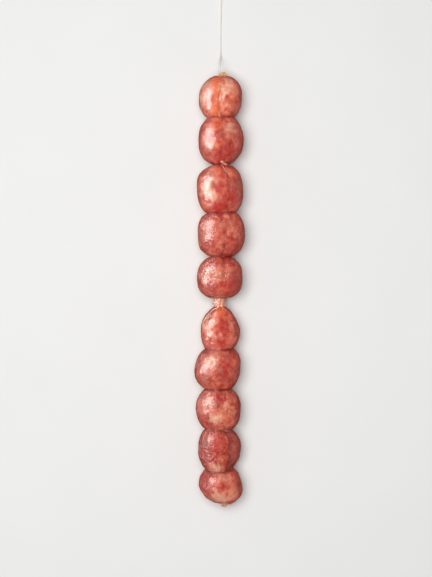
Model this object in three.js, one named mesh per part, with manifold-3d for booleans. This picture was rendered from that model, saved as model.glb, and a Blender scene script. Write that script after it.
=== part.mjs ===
// A string of ball-shaped sausage links, twisted from one length of natural casing and hung by
// a cotton thread. It lies on its back along Y, its hanging end towards +Y and its shown side
// up, each link settled into a small flat of its own on z = 0. All sizes are in millimetres.

import * as THREE from 'three';
import { mergeVertices } from 'three/addons/utils/BufferGeometryUtils.js';
import Module from 'manifold-3d';

const wasm = await Module();
wasm.setup();

// ---- Driving dimensions ----

// The links, from the hanging end down. across and along are a link's width and length, aside
// is its place to the right of the string's middle, and fullest is how far its widest ring
// lies towards the hanging end. square is the fullness of its shoulders, towards the hanging end
// and away from it: 2 is an ellipse. skew leans the upper half to the right and the lower half
// to the left. crease is the fold that runs down its shown side: how far round from the top in
// degrees, how deep (below 0 it's a ridge), towards which end it deepens (1 the hanging end),
// and step, if the casing lies lower past it.
const links = [
  { across: 34.6, along: 33.6, aside: 0.4, fullest: 0.0, square: [2.1, 2.2], skew: 0.2,
    crease: { round: -3, deep: 1.0, towards: -0.3 } },
  { across: 36.4, along: 37.8, aside: 0.7, fullest: 0.6, square: [2.15, 2.2], skew: 0.0,
    crease: { round: 4, deep: 0.45, towards: 0.0 } },
  { across: 36.9, along: 38.2, aside: 0.0, fullest: 0.4, square: [2.35, 2.35], skew: -0.3,
    crease: { round: 22, deep: 0.9, towards: 0.6 } },
  { across: 37.8, along: 35.2, aside: 1.0, fullest: 0.0, square: [2.6, 2.4], skew: 0.0,
    crease: { round: 9, deep: 1.5, towards: -0.6 } },
  { across: 36.7, along: 33.1, aside: -0.1, fullest: 0.3, square: [2.2, 2.7], skew: 0.0,
    crease: { round: 12, deep: 1.5, towards: 1.0 } },
  { across: 31.7, along: 33.0, aside: 0.0, fullest: -3.7, square: [1.75, 2.05], skew: -0.4,
    crease: { round: -38, deep: 0.4, towards: 1.0 } },
  { across: 36.2, along: 32.1, aside: -1.9, fullest: -0.4, square: [2.35, 2.35], skew: 0.7,
    crease: { round: -3, deep: -1.0, towards: 0.5 } },
  { across: 35.8, along: 32.8, aside: -1.3, fullest: 0.2, square: [2.15, 2.35], skew: 0.0,
    crease: { round: -5, deep: -0.8, towards: 1.0 } },
  { across: 34.4, along: 31.6, aside: -0.5, fullest: 0.3, square: [2.3, 2.3], skew: 0.3,
    crease: { round: 34, deep: 1.7, towards: 0.0, step: 1.6 } },
  { across: 34.8, along: 28.1, aside: 0.1, fullest: 0.6, square: [2.35, 2.1], skew: -0.3,
    crease: { round: 24, deep: 0.5, towards: 1.0 } },
];

// The seam below each link but the last. contact is the patch where the two links press
// together, as a share of the narrower one. The seam droops at the front and tilts up to the right.
const seams = [
  { contact: 0.62, droop: 0.3, tilt: 0.2 },
  { contact: 0.30, droop: 0.0, tilt: 0.3 },
  { contact: 0.64, droop: 0.6, tilt: 0.3 },
  { contact: 0.46, droop: 0.1, tilt: -0.2 },
  { contact: 0.25, droop: 0.0, tilt: 0.0 },
  { contact: 0.72, droop: 1.4, tilt: 0.1 },
  { contact: 0.58, droop: 0.9, tilt: 0.0 },
  { contact: 0.63, droop: 0.3, tilt: -0.3 },
  { contact: 0.67, droop: 2.3, tilt: 0.3 },
];
const seamReach = 7.5; // how far from a seam its droop is felt

const pressedNeck = { radius: 4.0, gap: 0.3 }; // the hidden twist between two pressed links
const freeNeck = { after: 4, radius: 3.7, frill: 5.4, along: 7.0 }; // the one twist that shows
const creaseSpread = 10; // degrees either side over which a crease falls in
const creaseStep = { over: 14, backFrom: 50, backTo: 88 }; // degrees over which a step falls, and comes back up
const unevenness = 0.012; // how far a link strays from round, as a share of its radius
const sag = 1.2; // how far each link settles into its flat

// The tied ends. proud is how far the gathered casing stands past its link.
const hangingTuft = { proud: 3.7, radius: 3.1, rim: 4.8, dimple: 1.9, pinch: 1.5, aside: 1.7 };
const lowerTuft = { proud: 2.6, radius: 4.2, rim: 4.4, dimple: 0.5, pinch: 2.2, aside: 4.9 };
const tuftWaves = 5;
const tuftWaveDepth = 0.14;

const threadDiameter = 1.2;
const clearance = 0.3; // between one piece and the next
const aroundString = 28; // sides of the casing
const ringsPerHalf = 4; // rings from a link's widest place to its end
const aroundThread = 8;

const threadRadius = threadDiameter / 2;
const degrees = Math.PI / 180;

// ---- Where each link lies ----

const linkTotal = links.reduce((sum, link) => sum + link.along, 0);
const stringLength = hangingTuft.proud + linkTotal + freeNeck.along + lowerTuft.proud;

let reached = stringLength / 2 - hangingTuft.proud;
links.forEach((link, index) => {
  link.radius = link.across / 2;
  link.top = reached;
  link.bottom = reached - link.along;
  link.middle = (link.top + link.bottom) / 2;
  link.widest = link.middle + link.fullest;
  reached = link.bottom - (index === freeNeck.after ? freeNeck.along : 0);
});
const firstLink = links[0];
const lastLink = links[links.length - 1];

// ---- The casing's outline: radius against place along the string ----

// One half of a link. A pressed end is cut flat at the contact patch, and a free end closes to
// its neck, so both are a squared ellipse that stops at endRadius.
function halfLink(link, endRadius, side) {
  const square = side > 0 ? link.square[0] : link.square[1];
  const lastAngle = Math.acos((endRadius / link.radius) ** (square / 2));
  const reach = side > 0 ? link.top - link.widest : link.widest - link.bottom;
  const rings = [];
  for (let step = 1; step <= ringsPerHalf; step += 1) {
    const angle = (lastAngle * step) / ringsPerHalf;
    const share = (Math.sin(angle) / Math.sin(lastAngle)) ** (2 / square);
    const radius = link.radius * Math.cos(angle) ** (2 / square);
    rings.push(new THREE.Vector2(radius, link.widest + side * reach * share));
  }
  return rings;
}

// The gathered casing beyond a tied end: over the rim, down into the dimple, along the pinch
// where the tie goes, and out again as a flared ruffle with a hollow in its cut edge.
function tiedEnd(tuft, edge, side) {
  const floor = edge - side * tuft.dimple;
  const tip = edge + side * tuft.proud;
  return [
    new THREE.Vector2(tuft.rim * 0.76, floor),
    new THREE.Vector2(tuft.pinch, floor),
    new THREE.Vector2(tuft.pinch, edge + side * tuft.proud * 0.14),
    new THREE.Vector2(tuft.radius * 0.86, edge + side * tuft.proud * 0.56),
    new THREE.Vector2(tuft.radius, tip - side * 0.2),
    new THREE.Vector2(tuft.radius * 0.62, tip),
    new THREE.Vector2(0, tip - side * tuft.proud * 0.3),
  ];
}

// Of the patch below link number index.
function contactRadius(index) {
  return seams[index].contact * Math.min(links[index].radius, links[index + 1].radius);
}

function endRadii(index) {
  const link = links[index];
  const neckEnd = freeNeck.radius * 1.25;
  let above = hangingTuft.rim;
  let below = lowerTuft.rim;
  if (index > 0) above = index - 1 === freeNeck.after ? neckEnd : contactRadius(index - 1);
  if (link !== lastLink) below = index === freeNeck.after ? neckEnd : contactRadius(index);
  return { above, below };
}

function neckBetween(upper, lower, index) {
  if (index === freeNeck.after) {
    const at = (share) => upper.bottom - freeNeck.along * share;
    return [
      new THREE.Vector2(freeNeck.radius, at(0.2)),
      new THREE.Vector2(freeNeck.frill, at(0.52)),
      new THREE.Vector2(freeNeck.radius * 0.95, at(0.84)),
    ];
  }
  return [
    new THREE.Vector2(pressedNeck.radius, upper.bottom),
    new THREE.Vector2(pressedNeck.radius, lower.top - pressedNeck.gap),
  ];
}

function casingOutline() {
  const outline = tiedEnd(hangingTuft, firstLink.top, 1).reverse();
  links.forEach((link, index) => {
    const radii = endRadii(index);
    const upperHalf = halfLink(link, radii.above, 1).reverse();
    const pressedAbove = index > 0 && index - 1 !== freeNeck.after;
    if (pressedAbove) upperHalf[0].y -= pressedNeck.gap;
    outline.push(...upperHalf, new THREE.Vector2(link.radius, link.widest), ...halfLink(link, radii.below, -1));
    if (link !== lastLink) outline.push(...neckBetween(link, links[index + 1], index));
  });
  outline.push(...tiedEnd(lowerTuft, lastLink.bottom, -1));
  return outline;
}

// ---- The string's middle line, as stations down its length ----

const stations = [
  { along: stringLength / 2, aside: hangingTuft.aside + 0.6, height: 15.6 },
  { along: firstLink.top, aside: hangingTuft.aside - 0.3, height: 16.2 },
  ...links.map((link) => ({ along: link.widest, aside: link.aside, height: link.radius - sag })),
  { along: lastLink.bottom + 3.5, aside: 2.2, height: 15.4 },
  { along: lastLink.bottom, aside: lowerTuft.aside - 0.4, height: 14.6 },
  { along: -stringLength / 2, aside: lowerTuft.aside, height: 13.2 },
];

// How far along its link a place is: 1 at the hanging end, -1 at the other.
function reachIn(link, along) {
  return (along - link.middle) / (link.along / 2);
}

function middleLine(along) {
  const next = stations.findIndex((station) => station.along < along);
  if (next === 0) return stations[0];
  if (next < 0) return stations[stations.length - 1];
  const from = stations[next - 1];
  const to = stations[next];
  const share = THREE.MathUtils.smoothstep(from.along - along, 0, from.along - to.along);
  const link = links.find((each) => along < each.top && along > each.bottom);
  const lean = link ? link.skew * Math.sin(Math.PI * reachIn(link, along)) : 0;
  return {
    aside: THREE.MathUtils.lerp(from.aside, to.aside, share) + lean,
    height: THREE.MathUtils.lerp(from.height, to.height, share),
  };
}

// ---- How each link strays from a turned shape ----

function creaseDepth(link, round, reach) {
  const { crease } = link;
  const off = (round / degrees - crease.round) / creaseSpread;
  const nearness = THREE.MathUtils.clamp(0.5 + 0.5 * reach * Math.sign(crease.towards), 0, 1);
  const strength = 1 - Math.abs(crease.towards) * (1 - nearness);
  const fold = crease.deep * strength * Math.exp(-off * off);
  if (!crease.step) return fold;
  const { over, backFrom, backTo } = creaseStep;
  const past = THREE.MathUtils.clamp((off * creaseSpread) / over, 0, 1);
  const notBack = THREE.MathUtils.clamp((backTo - round / degrees) / (backTo - backFrom), 0, 1);
  return fold + crease.step * past * notBack;
}

function strayFromRound(index, round, reach) {
  const twoSided = Math.sin(2 * round + 1.7 * index + 0.6);
  const threeSided = Math.sin(3 * round + 2.9 * index + 1.5 * reach);
  return unevenness * (0.6 * twoSided + 0.4 * threeSided);
}

function radiusFactor(along, round) {
  const waves = tuftWaveDepth * Math.cos(tuftWaves * round);
  if (along > firstLink.top || along < lastLink.bottom) return 1 + waves;
  const index = links.findIndex((link) => along >= link.bottom && along <= link.top);
  if (index < 0) return 1 + waves / 2;
  const link = links[index];
  const reach = reachIn(link, along);
  return 1 + strayFromRound(index, round, reach) - creaseDepth(link, round, reach) / link.radius;
}

// How far a seam's droop and tilt move the casing near it.
function seamSlide(along, round) {
  return seams.reduce((slide, seam, index) => {
    const near = Math.exp(-(((along - links[index].bottom) / seamReach) ** 2));
    return slide + near * (seam.tilt * Math.sin(round) - seam.droop * (0.35 + 0.65 * Math.cos(round)));
  }, 0);
}

// ---- The casing: turned round Y, then creased, laid along its middle line and sagged flat ----

function sausageString() {
  const halfSide = Math.PI / aroundString;
  const outline = casingOutline().reverse();
  const geometry = new THREE.LatheGeometry(outline, aroundString, halfSide, 2 * Math.PI);
  const place = geometry.attributes.position;
  for (let i = 0; i < place.count; i += 1) {
    const along = place.getY(i);
    const round = Math.atan2(place.getX(i), place.getZ(i));
    const radius = Math.hypot(place.getX(i), place.getZ(i)) * radiusFactor(along, round);
    const line = middleLine(along);
    const height = line.height + radius * Math.cos(round);
    const slid = along + seamSlide(along, round);
    place.setXYZ(i, line.aside + radius * Math.sin(round), slid, Math.max(height, 0));
  }
  return geometry;
}

// ---- The thread: tied round the casing's top pinch, let down to the surface and looped ----

// The turn lies in the dimple, and its knot sits on the turn's left side.
const tiePlace = firstLink.top - hangingTuft.dimple + clearance + threadRadius;
const tieLine = middleLine(tiePlace);
const tieRadius = hangingTuft.pinch * (1 + tuftWaveDepth) + clearance + threadRadius;
const tieKnot = { across: 1.9, along: 2.0, high: 2.2 };
const tieKnotPlace = new THREE.Vector3(
  tieLine.aside - tieRadius * 0.6,
  tiePlace + 1.4,
  tieLine.height + tieRadius * 0.95,
);

// The hanging thread's route, from the knot to the loop's knot. It comes straight out of the
// knot, drops off the string's end and lies along the surface.
const rest = threadRadius + 0.05;
const threadRoute = [
  [-0.28, 172.50, 18.90],
  [-0.28, 174.80, 19.15],
  [-0.25, 177.00, 18.60],
  [-0.20, 179.20, 17.00],
  [-0.12, 181.20, 14.30],
  [-0.02, 182.90, 11.60],
  [0.08, 184.50, 8.60],
  [0.18, 186.20, 5.70],
  [0.26, 188.20, 3.20],
  [0.34, 190.80, 1.45],
  [0.44, 194.20, rest],
  [0.46, 198.50, rest],
  [0.40, 204.00, rest],
  [0.44, 210.00, rest],
  [0.62, 217.00, rest],
  [0.82, 224.00, rest],
  [1.00, 231.00, rest],
  [1.10, 238.40, rest],
];

// The loop that went over the hook, from its knot round and back to it.
const loopKnot = { across: 3.4, along: 4.2, high: 2.5, place: new THREE.Vector3(1.15, 240.8, 1.3) };
const loopRoute = [
  [0.65, 243.20, rest],
  [-0.55, 246.40, rest],
  [-2.60, 250.40, rest],
  [-4.30, 255.00, rest],
  [-4.00, 259.60, rest],
  [-0.90, 262.80, rest],
  [3.00, 263.10, rest],
  [6.10, 260.20, rest],
  [6.70, 255.60, rest],
  [5.10, 250.80, rest],
  [3.10, 246.60, rest],
  [1.85, 243.20, rest],
];
const threadSteps = 34;
const loopSteps = 22;

function threadTube(route, steps) {
  const section = new THREE.Shape();
  for (let side = 0; side < aroundThread; side += 1) {
    const angle = ((side + 0.5) * 2 * Math.PI) / aroundThread;
    const corner = [threadRadius * Math.cos(angle), threadRadius * Math.sin(angle)];
    if (side === 0) section.moveTo(...corner);
    else section.lineTo(...corner);
  }
  section.closePath();
  const path = new THREE.CatmullRomCurve3(route.map((point) => new THREE.Vector3(...point)));
  return new THREE.ExtrudeGeometry(section, { extrudePath: path, steps, bevelEnabled: false });
}

// A knot is a small bead with the slanting furrows of its turns.
function knotBead(size) {
  const bead = new THREE.SphereGeometry(0.5, 14, 9);
  const place = bead.attributes.position;
  const point = new THREE.Vector3();
  for (let i = 0; i < place.count; i += 1) {
    point.fromBufferAttribute(place, i);
    const furrow = 1 + 0.09 * Math.cos(3 * Math.atan2(point.x, point.z) + 9 * point.y);
    place.setXYZ(i, point.x * size.across * furrow, point.y * size.along, point.z * size.high * furrow);
  }
  return bead;
}

function solidOf(geometry) {
  const bare = geometry.clone();
  bare.deleteAttribute('normal');
  bare.deleteAttribute('uv');
  const merged = mergeVertices(bare, 1e-4);
  return new wasm.Manifold(new wasm.Mesh({
    numProp: 3,
    vertProperties: new Float32Array(merged.attributes.position.array),
    triVerts: new Uint32Array(merged.index.array),
  }));
}

function geometryOf(solid) {
  const mesh = solid.getMesh();
  const geometry = new THREE.BufferGeometry();
  geometry.setAttribute('position', new THREE.BufferAttribute(new Float32Array(mesh.vertProperties), 3));
  geometry.setIndex(new THREE.BufferAttribute(new Uint32Array(mesh.triVerts), 1));
  geometry.computeVertexNormals();
  return geometry;
}

function threadTie() {
  const turn = new THREE.TorusGeometry(tieRadius, threadRadius, aroundThread, 20);
  turn.rotateX(Math.PI / 2);
  turn.translate(tieLine.aside, tiePlace, tieLine.height);
  const knot = knotBead(tieKnot);
  knot.translate(tieKnotPlace.x, tieKnotPlace.y, tieKnotPlace.z);
  return geometryOf(solidOf(turn).add(solidOf(knot)));
}

function loopKnotBead() {
  const knot = knotBead(loopKnot);
  knot.translate(loopKnot.place.x, loopKnot.place.y, loopKnot.place.z);
  return knot;
}

// ---- The assembled string ----

const sausage = new THREE.MeshStandardMaterial({ color: 0xc76a5a, roughness: 0.34, metalness: 0 });
const tiedThread = new THREE.MeshStandardMaterial({ color: 0xcdb690, roughness: 0.85, metalness: 0 });
const thread = new THREE.MeshStandardMaterial({ color: 0xe9e7e3, roughness: 0.9, metalness: 0 });

const group = new THREE.Group();

function addPiece(name, geometry, material) {
  const piece = new THREE.Mesh(geometry, material);
  piece.name = name;
  group.add(piece);
}

addPiece('sausage_string', sausageString(), sausage);
addPiece('thread_tie', threadTie(), tiedThread);
addPiece('hanging_thread', threadTube(threadRoute, threadSteps), thread);
addPiece('loop_knot', loopKnotBead(), thread);
addPiece('hanging_loop', threadTube(loopRoute, loopSteps), thread);

export default group;
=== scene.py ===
import math
import bpy
import numpy as np
from mathutils import Matrix, Vector


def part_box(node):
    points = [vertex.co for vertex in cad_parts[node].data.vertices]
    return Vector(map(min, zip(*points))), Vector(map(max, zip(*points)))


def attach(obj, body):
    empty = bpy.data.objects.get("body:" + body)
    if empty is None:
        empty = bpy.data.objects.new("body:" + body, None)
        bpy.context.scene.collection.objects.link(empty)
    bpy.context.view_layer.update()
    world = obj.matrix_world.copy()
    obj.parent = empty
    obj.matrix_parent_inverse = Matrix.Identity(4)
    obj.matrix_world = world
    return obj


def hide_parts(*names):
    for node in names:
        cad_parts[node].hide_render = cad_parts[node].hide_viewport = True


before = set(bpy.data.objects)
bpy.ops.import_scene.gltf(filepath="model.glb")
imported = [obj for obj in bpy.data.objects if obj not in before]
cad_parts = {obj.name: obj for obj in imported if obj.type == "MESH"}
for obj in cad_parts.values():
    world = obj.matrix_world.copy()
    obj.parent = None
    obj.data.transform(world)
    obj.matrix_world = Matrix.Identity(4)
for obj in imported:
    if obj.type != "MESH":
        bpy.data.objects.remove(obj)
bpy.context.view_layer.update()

# String of sausage links: one twisted casing lying on its back, hung by a cotton thread.
# Works in metres, same frame as the solids. Lengths in the dictionaries are in mm, except for the
# lamps, which are placed in metres.

mm = 0.001
casingLow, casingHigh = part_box("sausage_string")
middleHeight = (casingLow.z + casingHigh.z) / 2


def place(obj):
    bpy.context.scene.collection.objects.link(obj)
    return obj


def meshFrom(name, verts, faces, smooth=True):
    # corners in mm
    mesh = bpy.data.meshes.new(name)
    mesh.from_pydata([tuple(c * mm for c in v) for v in verts], [], faces)
    mesh.validate()
    mesh.polygons.foreach_set("use_smooth", [smooth] * len(mesh.polygons))
    mesh.update()
    return place(bpy.data.objects.new(name, mesh))


def ringQuads(rings, around, start=0, closed=False):
    # quads between each ring of corners and the next
    quads = []
    for i in range(rings if closed else rings - 1):
        a, b = start + i * around, start + (i + 1) % rings * around
        for k in range(around):
            m = (k + 1) % around
            quads.append((a + k, a + m, b + m, b + k))
    return quads


def tubeFaces(rings, around, start=0):
    # a tube of rings with a flat cap at both ends
    first = [start + k for k in range(around)]
    last = [corner + (rings - 1) * around for corner in first]
    return ringQuads(rings, around, start) + [tuple(first[::-1]), tuple(last)]


def evenAngles(count):
    return 2 * math.pi * np.arange(count) / count


def ringOf(middle, side, up, angle, radius):
    return middle + np.outer(radius * np.cos(angle), side) + np.outer(radius * np.sin(angle), up)


def sized(vectors):
    return vectors / np.linalg.norm(vectors, axis=-1, keepdims=True)


def walkedTo(points, power=1.0):
    # how far it is to each point of a line
    steps = np.linalg.norm(np.diff(points, axis=0), axis=1)
    return np.concatenate([[0], np.cumsum(steps ** power)])


def readAt(stops, known, table):
    # every column of a table, read at new stops
    return np.stack([np.interp(stops, known, column) for column in table.T], axis=1)


def between(t, start, end, p, q):
    return ((end - t) * p + (t - start) * q) / (end - start)


def addPiece(obj, node=None):
    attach(obj, "root")
    if node:
        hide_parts(node)
    return obj


def colourOf(hexText):
    # screen colour to the linear colour that the shader wants
    parts = [int(hexText[i:i + 2], 16) / 255 for i in (1, 3, 5)]
    linear = [p / 12.92 if p <= 0.04045 else ((p + 0.055) / 1.055) ** 2.4 for p in parts]
    return (*linear, 1.0)


camera = {
    "lens": 85,
    "sensor": 36,
    "seen": 461.6,  # top to bottom of the view, at the string's middle height
    "middle": (-3.2, 0.4),
}


def makeCamera():
    data = bpy.data.cameras.new("camera")
    data.lens = camera["lens"]
    data.sensor_width = camera["sensor"]
    away = camera["seen"] * mm * camera["lens"] / camera["sensor"]
    obj = place(bpy.data.objects.new("camera", data))
    obj.location = (camera["middle"][0] * mm, camera["middle"][1] * mm, middleHeight + away)
    bpy.context.scene.camera = obj  # no turn: looks straight down, hanging end at the top


thread = {
    "diameter": 1.2,
    "strands": 3,
    "pitch": 4.2,  # one full turn of the twist
    "groove": 0.16,  # how deep the strands part, as a share of the radius
    "strandRound": 0.7,  # lower makes the strands rounder
    "around": 18,
    "step": 0.35,
    "smooth": 24,  # steps between two points of a route
    "knotSteps": 90,
}

# same route as the solid: out of the tie, off the string's end, along the surface
threadRoute = [
    (-0.28, 172.50, 18.90), (-0.28, 174.80, 19.15), (-0.25, 177.00, 18.60), (-0.20, 179.20, 17.00),
    (-0.12, 181.20, 14.30), (-0.02, 182.90, 11.60), (0.08, 184.50, 8.60), (0.18, 186.20, 5.70),
    (0.26, 188.20, 3.20), (0.34, 190.80, 1.45), (0.44, 194.20, 0.65), (0.46, 198.50, 0.65),
    (0.40, 204.00, 0.65), (0.44, 210.00, 0.65), (0.62, 217.00, 0.65), (0.82, 224.00, 0.65),
    (1.00, 231.00, 0.65), (1.10, 238.40, 0.65),
]
loopRoute = [
    (0.65, 243.20, 0.65), (-0.55, 246.40, 0.65), (-2.60, 250.40, 0.65), (-4.30, 255.00, 0.65),
    (-4.00, 259.60, 0.65), (-0.90, 262.80, 0.65), (3.00, 263.10, 0.65), (6.10, 260.20, 0.65),
    (6.70, 255.60, 0.65), (5.10, 250.80, 0.65), (3.10, 246.60, 0.65), (1.85, 243.20, 0.65),
]


def smoothRoute(points, step):
    # centripetal curve through the points, walked in even steps
    pts = np.array(points, float)
    padded = np.vstack([2 * pts[0] - pts[1], pts, 2 * pts[-1] - pts[-2]])
    times = walkedTo(padded, 0.5)
    fine = []
    for i in range(1, len(padded) - 2):
        p0, p1, p2, p3 = padded[i - 1:i + 3]
        t0, t1, t2, t3 = times[i - 1:i + 3]
        t = np.linspace(t1, t2, thread["smooth"], endpoint=False)[:, None]
        a1, a2, a3 = between(t, t0, t1, p0, p1), between(t, t1, t2, p1, p2), between(t, t2, t3, p2, p3)
        fine.append(between(t, t1, t2, between(t, t0, t2, a1, a2), between(t, t1, t3, a2, a3)))
    fine = np.vstack([*fine, pts[-1:]])
    walked = walkedTo(fine)
    stops = np.linspace(0, walked[-1], max(2, int(round(walked[-1] / step)) + 1))
    return readAt(stops, walked, fine), walked[-1]


def twistedTube(name, path, radius, closed=False):
    # a laid thread: its section is a round of strands that turns as it goes
    count, around = len(path), thread["around"]
    ahead = sized(np.roll(path, -1, 0) - np.roll(path, 1, 0) if closed else np.gradient(path, axis=0))
    side = np.cross(ahead[0], (0.0, 0.0, 1.0))
    if np.linalg.norm(side) < 0.1:  # the thread starts upright
        side = np.cross(ahead[0], (1.0, 0.0, 0.0))
    walked = walkedTo(path)
    angle = evenAngles(around)
    rings = []
    for i in range(count):
        side = sized(side - ahead[i] * np.dot(side, ahead[i]))
        turn = 2 * math.pi * walked[i] / thread["pitch"]
        strand = abs(np.cos(thread["strands"] * (angle - turn) / 2))
        r = radius * (1 - thread["groove"] * (1 - strand ** thread["strandRound"]) * 2)
        rings.append(ringOf(path[i], side, np.cross(side, ahead[i]), angle, r))
    faces = ringQuads(count, around, closed=True) if closed else tubeFaces(count, around)
    return meshFrom(name, np.vstack(rings), faces)


def makeThread(name, route, node):
    path, length = smoothRoute(route, thread["step"])
    obj = twistedTube(name, path, thread["diameter"] / 2)
    return addPiece(obj, node), path, length


knots = {
    "loopKnot": {"middle": (1.15, 240.8, 1.33), "size": (3.4, 4.4, 2.5), "thread": 0.56, "lean": 8,
                 "slot": "thread", "node": "loop_knot"},
    "tieKnot": {"middle": (-0.2, 171.05, 18.7), "size": (1.9, 2.1, 2.0), "thread": 0.46, "lean": 20,
                "slot": "tie"},
}


def makeKnot(name):
    # overhand knot: the thread goes round three times over and under itself
    facts = knots[name]
    turn = evenAngles(thread["knotSteps"])
    out = 2 + np.cos(3 * turn)
    path = np.stack([out * np.cos(2 * turn) / 3, out * np.sin(2 * turn) / 3, np.sin(3 * turn)], axis=1)
    path *= np.array(facts["size"]) / 2 - facts["thread"]
    lean = np.array(Matrix.Rotation(math.radians(facts["lean"]), 3, "Z"))
    obj = twistedTube(name, path @ lean.T + np.array(facts["middle"]), facts["thread"], closed=True)
    return addPiece(obj, facts.get("node"))


# the turn of thread round the top pinch
tieTurn = {"middle": (1.38, 169.7, 16.2), "radius": 2.5, "thread": 0.56, "rise": 0.35, "steps": 60}


def makeTie():
    across, rise = (tieTurn["radius"], 0, 0), (0, tieTurn["rise"], tieTurn["radius"])
    path = ringOf(np.array(tieTurn["middle"]), across, rise, evenAngles(tieTurn["steps"]), 1)
    obj = twistedTube("threadTie", path, tieTurn["thread"], closed=True)
    return addPiece(obj, "thread_tie")


# One number for each link, from the hanging end down. across and along: width and length. aside:
# to the right of the middle. fullest: how far the widest ring lies towards the hanging end. square:
# 2 is an oval, more has fuller shoulders. skew: upper half to the right, lower to the left. tone:
# paler above 0. crackled: how far the casing has dried into fine cracks. The crease is the fold down
# the shown side: round is degrees to the right of the top, deep in mm (below 0 it is a ridge),
# towards 1 if it deepens to the hanging end, then how far painted shade darkens it, wide as a
# multiple, and step is how far the surface to its right lies lower, in mm.
linkColumns = {
    "across": (34.6, 36.4, 36.9, 37.8, 36.7, 31.7, 36.2, 35.8, 34.4, 34.8),
    "along": (33.6, 37.8, 38.2, 35.2, 33.1, 33.0, 32.1, 32.8, 31.6, 28.1),
    "aside": (0.4, 0.7, 0.0, 1.0, -0.1, 0.0, -1.9, -1.3, -0.5, 0.1),
    "fullest": (0.0, 0.6, 0.4, 0.0, 0.3, -3.7, -0.4, 0.2, 0.3, 0.6),
    "squareAbove": (2.1, 2.15, 2.35, 2.6, 2.2, 1.75, 2.35, 2.15, 2.3, 2.35),
    "squareBelow": (2.2, 2.2, 2.35, 2.4, 2.7, 2.05, 2.35, 2.35, 2.3, 2.1),
    "skew": (0.2, 0.0, -0.3, 0.0, 0.0, -0.4, 0.7, 0.0, 0.3, -0.3),
    "tone": (1.1, 0.0, 0.05, 0.2, 0.15, 0.15, 0.15, 0.2, -0.4, 0.4),
    "crackled": (0.25, 0.45, 0.15, 0.7, 0.9, 0.3, 0.9, 1.0, 0.9, 0.5),
    "creaseRound": (-3, 4, 22, 9, 12, -38, -3, -5, 34, 24),
    "creaseDeep": (1.1, 0.45, 1.0, 1.6, 1.5, 0.4, -1.0, -0.8, 1.7, 0.5),
    "creaseTowards": (-0.3, 0.0, 0.6, -0.6, 1.0, 1.0, 0.5, 1.0, 0.0, 1.0),
    "creaseShade": (0.36, 0.1, 0.48, 0.5, 0.35, 0.1, 0.0, 0.0, 0.25, 0.1),
    "creaseWide": (0.8, 1.0, 1.0, 1.3, 1.5, 1.0, 1.0, 1.0, 2.0, 1.0),
    "creaseStep": (0, 0, 0, 0, 0, 0, 0, 0, 1.6, 0),
}
links = [dict(zip(linkColumns, row)) for row in zip(*linkColumns.values())]

# Below each link: contact is the patch where it presses on the next, as a share of the narrower
# one; the seam droops at the front and tilts up to the right, and dark is how far painted shade darkens
# it.
seamColumns = {
    "contact": (0.62, 0.30, 0.64, 0.46, 0.25, 0.72, 0.58, 0.63, 0.67),
    "droop": (0.3, 0.0, 0.6, 0.1, 0.0, 1.4, 0.9, 0.3, 2.3),
    "tilt": (0.2, 0.3, 0.3, -0.2, 0.0, 0.1, 0.0, -0.3, 0.3),
    "dark": (0.35, 0.35, 0.35, 0.35, 0.35, 0.35, 0.6, 0.35, 0.35),
}
seams = [dict(zip(seamColumns, row)) for row in zip(*seamColumns.values())]

casing = {
    "neck": 4.0,
    "grooveDepth": 1.2,  # of the seam between two pressed links
    "pressedGap": 0.3,
    "sag": 1.2,  # how far a link settles into its flat
    "around": 148,
    "topDensity": 0.45,  # draws the columns together on the shown side
    "outlineSteps": 200,  # of half a link
    "walkStep": 0.1,
    "spacing": 0.8,
    "hiddenSpacing": 2.2,
    "lipSoftness": 0.62,
    "seamReach": 7.5,
    "sideDroop": 0.35,  # share of a seam's droop that is left at its sides
    "oval": 0.0072,  # how far the links are from round, as shares of the radius
    "threeSided": 0.0048,
    "restSoftness": 0.08,  # of the flat that it rests on
    "hiddenShade": 0.6,  # painted shade inside the seams
    "seamWide": 1.3,
    "seed": 11,
}

# The bare twist after link number 4, counted from 0. profile: which size, times what, how far down.
freeNeck = {
    "after": 4,
    "along": 7.0,
    "radius": 3.7,
    "frill": 5.4,
    "flare": 1.25,  # where it opens into the links, times the radius
    "profile": [("radius", 1.14, 0.14), ("radius", 1.08, 0.30), ("frill", 0.94, 0.48),
                ("frill", 0.98, 0.62), ("radius", 1.10, 0.78), ("radius", 1.0, 0.90)],
    "folds": [(7, 3.5, 1.0), (3, -1, 0.5), (13, 2, 0.45)],  # count, how fast they wind, share
    "foldDepth": 0.12,
    "twist": 6,  # degrees to a mm
    "frillCut": 0.17,
    "frillAt": 0.55,  # of the way down
    "frillWide": 1.5,
}

# base and tip: how far aside and how high the middle of the casing lies there
tufts = {
    "hanging": {"proud": 3.7, "rim": 4.8, "dimple": 1.9, "pinch": 1.5, "throat": 2.2,
                "base": (1.4, 16.2), "tip": (2.3, 15.6)},
    "lower": {"rim": 4.4, "dimple": 0.5, "pinch": 2.2, "throat": 2.0,
              "start": (2.2, 15.4), "base": (4.5, 14.6), "tip": (4.9, 13.2)},
    "floor": 0.76,  # width of a dimple's floor, as a share of its rim
}


def layOutLinks():
    # stations down the string, worked out from the sizes above
    reached = casingHigh.y / mm - tufts["hanging"]["proud"]
    for index, link in enumerate(links):
        link["radius"] = link["across"] / 2
        link["top"] = reached
        link["bottom"] = reached - link["along"]
        link["middle"] = (link["top"] + link["bottom"]) / 2
        link["widest"] = link["middle"] + link["fullest"]
        reached = link["bottom"] - (freeNeck["along"] if index == freeNeck["after"] else 0)


def contactRadius(index):
    # of the patch below link number index
    upper, lower = links[index], links[index + 1]
    return seams[index]["contact"] * min(upper["radius"], lower["radius"])


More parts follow.
